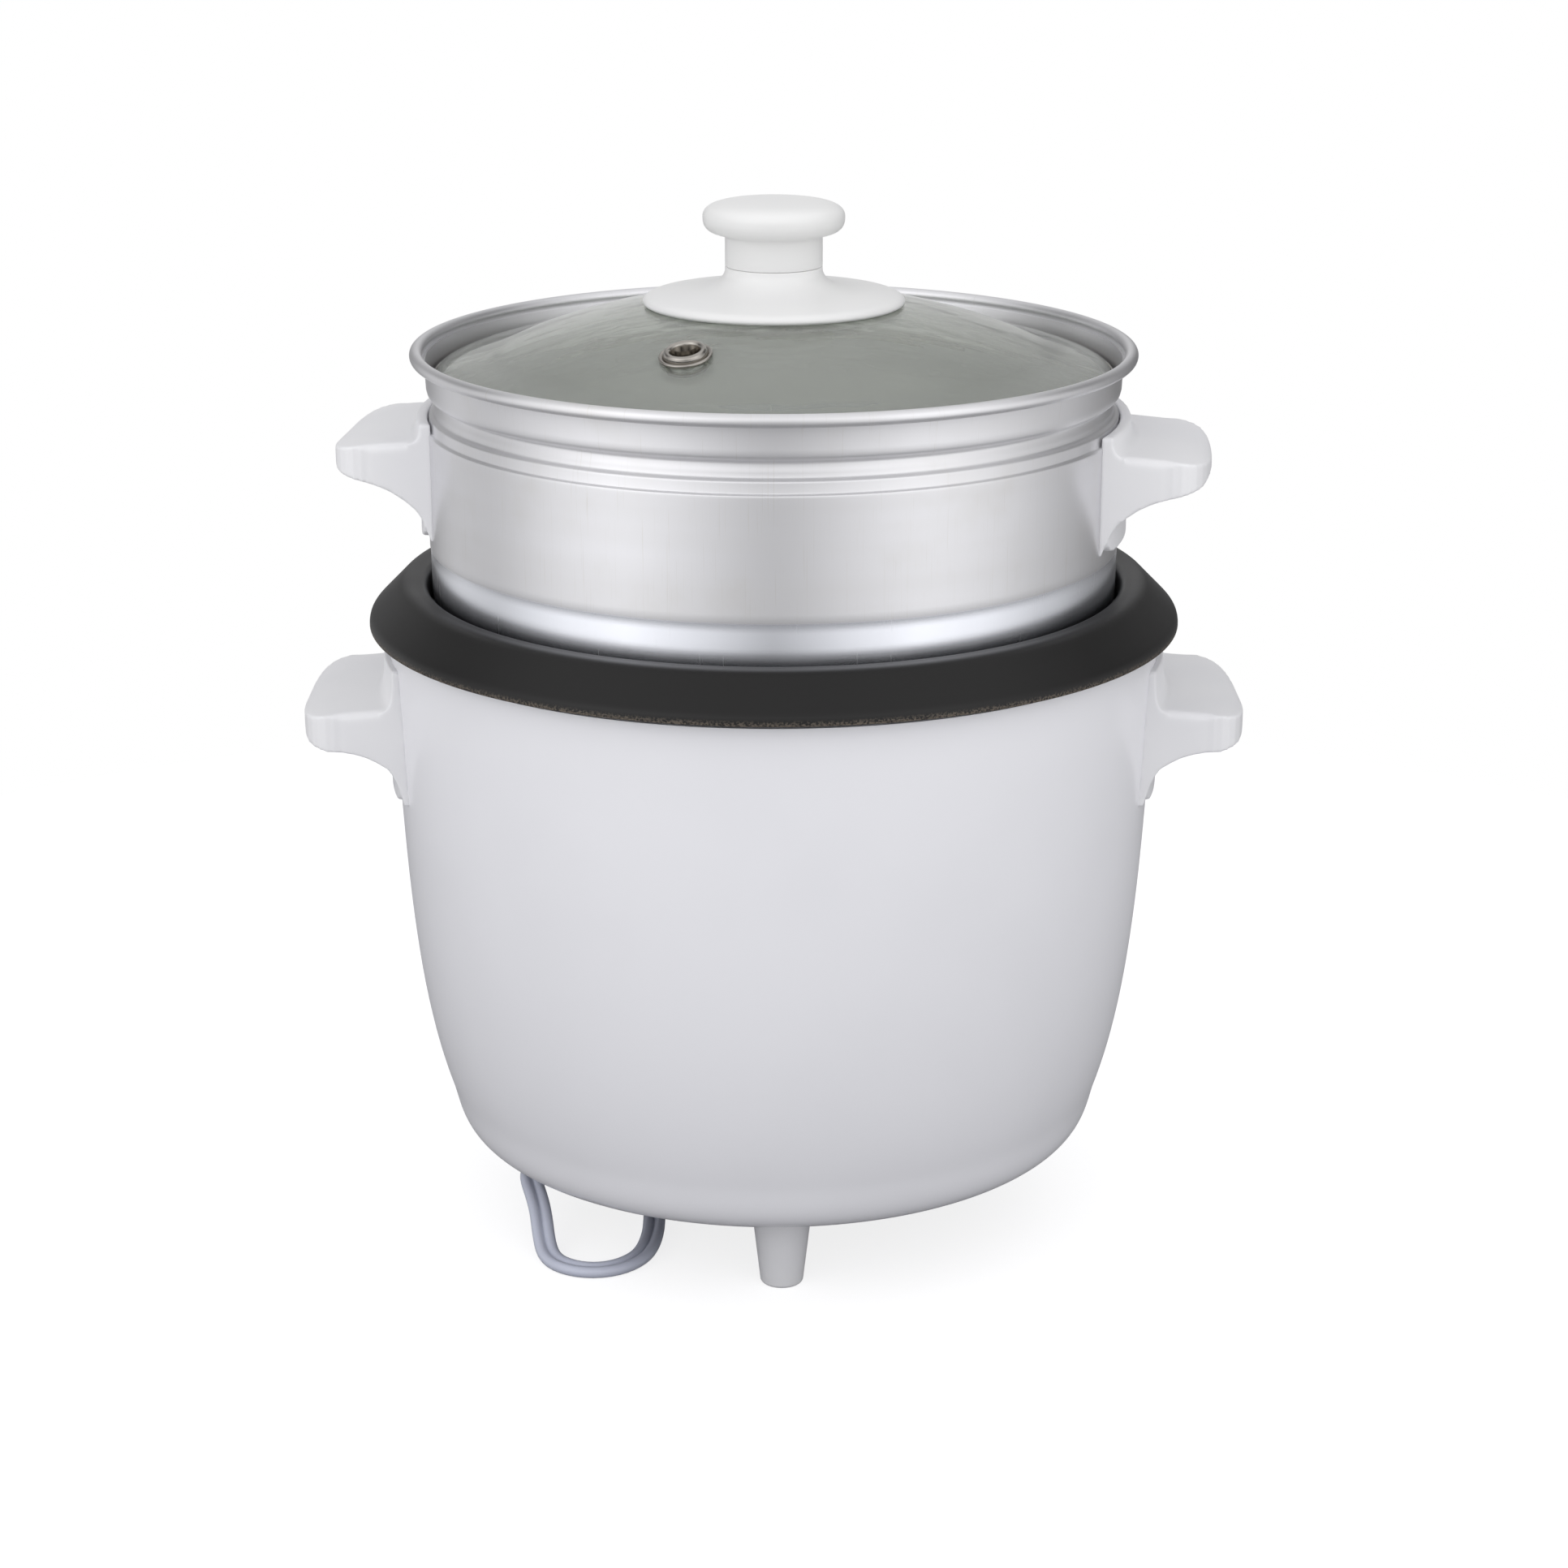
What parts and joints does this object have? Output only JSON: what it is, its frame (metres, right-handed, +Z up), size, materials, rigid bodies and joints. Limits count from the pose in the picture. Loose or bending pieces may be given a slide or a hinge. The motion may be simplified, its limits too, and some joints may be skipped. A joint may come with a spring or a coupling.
{
  "type": "rice cooker",
  "caption": "White drum rice cooker with a dark non-stick pot, a spun aluminium steamer pan with side handles and a domed glass lid with a knob and a steam vent.",
  "frame": {"origin": "on the floor under the middle of the drum's axis", "axes": "+Z up along the drum, +Y towards the cooking lever, +X towards one of the two side handles"},
  "size_m": [0.2692, 0.2304, 0.2969],
  "materials": {
    "shell_paint": "white gloss paint",
    "liner_steel": "plain sheet",
    "white_plastic": "satin moulded",
    "knob_plastic": "satin moulded",
    "fastener_steel": "plated",
    "spring_steel": "drawn wire",
    "cast_aluminium": "cast and turned",
    "spun_aluminium": "spun and brushed",
    "nonstick": "satin non-stick coating",
    "mica": "matt sheet",
    "ferrite": "matt",
    "brass": "plain",
    "black_plastic": "moulded",
    "red_plastic": "moulded",
    "amber_plastic": "clear tinted",
    "lamp_glass": "clear",
    "wire_pvc": "satin",
    "cord_pvc": "satin",
    "plug_pvc": "satin",
    "lid_glass": "clear tempered",
    "polished_steel": "polished",
    "silicone": "matt"
  },
  "bodies": {
    "base": {"outer_shell": "shell_paint", "inner_liner": "liner_steel", "base_plate": "liner_steel", "foot_front": "white_plastic", "foot_rear_left": "white_plastic", "foot_rear_right": "white_plastic", "foot_screws": "fastener_steel", "foot_nuts": "fastener_steel", "body_handle_left": "white_plastic", "body_handle_right": "white_plastic", "body_handle_screws": "fastener_steel", "heating_plate": "cast_aluminium", "heating_element": "fastener_steel", "plate_screws": "fastener_steel", "warm_heater": "mica", "thermostat_cup": "liner_steel", "lever_bracket": "liner_steel", "lever_pin": "fastener_steel", "main_switch": "black_plastic", "control_panel": "white_plastic", "cook_lens": "red_plastic", "warm_lens": "amber_plastic", "neon_lamps": "lamp_glass", "thermal_fuse": "fastener_steel", "fuse_clip": "liner_steel", "terminal_block": "white_plastic", "internal_wires": "wire_pvc", "strain_relief": "white_plastic", "power_cord": "cord_pvc", "cord_coil": "cord_pvc", "cord_tail": "cord_pvc", "plug_body": "plug_pvc", "plug_blades": "brass"},
    "sensor": {"sensor_cap": "cast_aluminium", "ferrite_core": "ferrite", "sensor_spring": "spring_steel"},
    "magnet": {"magnet": "ferrite", "magnet_rod": "brass", "release_spring": "spring_steel"},
    "lever": {"cook_lever": "liner_steel", "lever_knob": "white_plastic"},
    "plunger": {"switch_plunger": "red_plastic"},
    "pot": {"inner_pot": "nonstick"},
    "steamer": {"steamer_pan": "spun_aluminium", "steamer_handle_left": "white_plastic", "steamer_handle_right": "white_plastic", "steamer_screws": "fastener_steel"},
    "lid": {"lid_glass": "lid_glass", "lid_band": "polished_steel", "vent_grommet": "polished_steel", "knob_skirt": "knob_plastic", "lid_knob": "knob_plastic", "lid_screw": "fastener_steel", "lid_washer": "silicone"}
  },
  "joints": [
    {"name": "pot_lift", "type": "slide", "parent": "base", "child": "pot", "axis": [0, 0, 1], "range_m": [0, 0.16]},
    {"name": "steamer_lift", "type": "slide", "parent": "pot", "child": "steamer", "axis": [0, 0, 1], "range_m": [0, 0.1]},
    {"name": "lid_lift", "type": "slide", "parent": "steamer", "child": "lid", "axis": [0, 0, 1], "range_m": [0, 0.08]},
    {"name": "lever_press", "type": "hinge", "parent": "base", "child": "lever", "pos_m": [0, 0.028, 0.034], "axis": [-1, 0, 0], "range_deg": [0, 10], "stiffness_Nm_per_rad": 0.115, "springref_deg": -9.97},
    {"name": "magnet_lift", "type": "slide", "parent": "base", "child": "magnet", "axis": [0, 0, 1], "range_m": [0, 0.0049], "deforming": ["release_spring"]},
    {"name": "plunger_travel", "type": "slide", "parent": "base", "child": "plunger", "axis": [0, 0, -1], "range_m": [0, 0.0029]},
    {"name": "sensor_press", "type": "slide", "parent": "base", "child": "sensor", "axis": [0, 0, 1], "range_m": [-0.0015, 0], "stiffness_N_per_m": 800, "springref_m": 0.002, "deforming": ["sensor_spring"]}
  ],
  "couplings": [
    {"joint": "magnet_lift", "follows": "lever_press", "m_per_rad": 0.028},
    {"joint": "plunger_travel", "follows": "lever_press", "m_per_rad": 0.016}
  ]
}
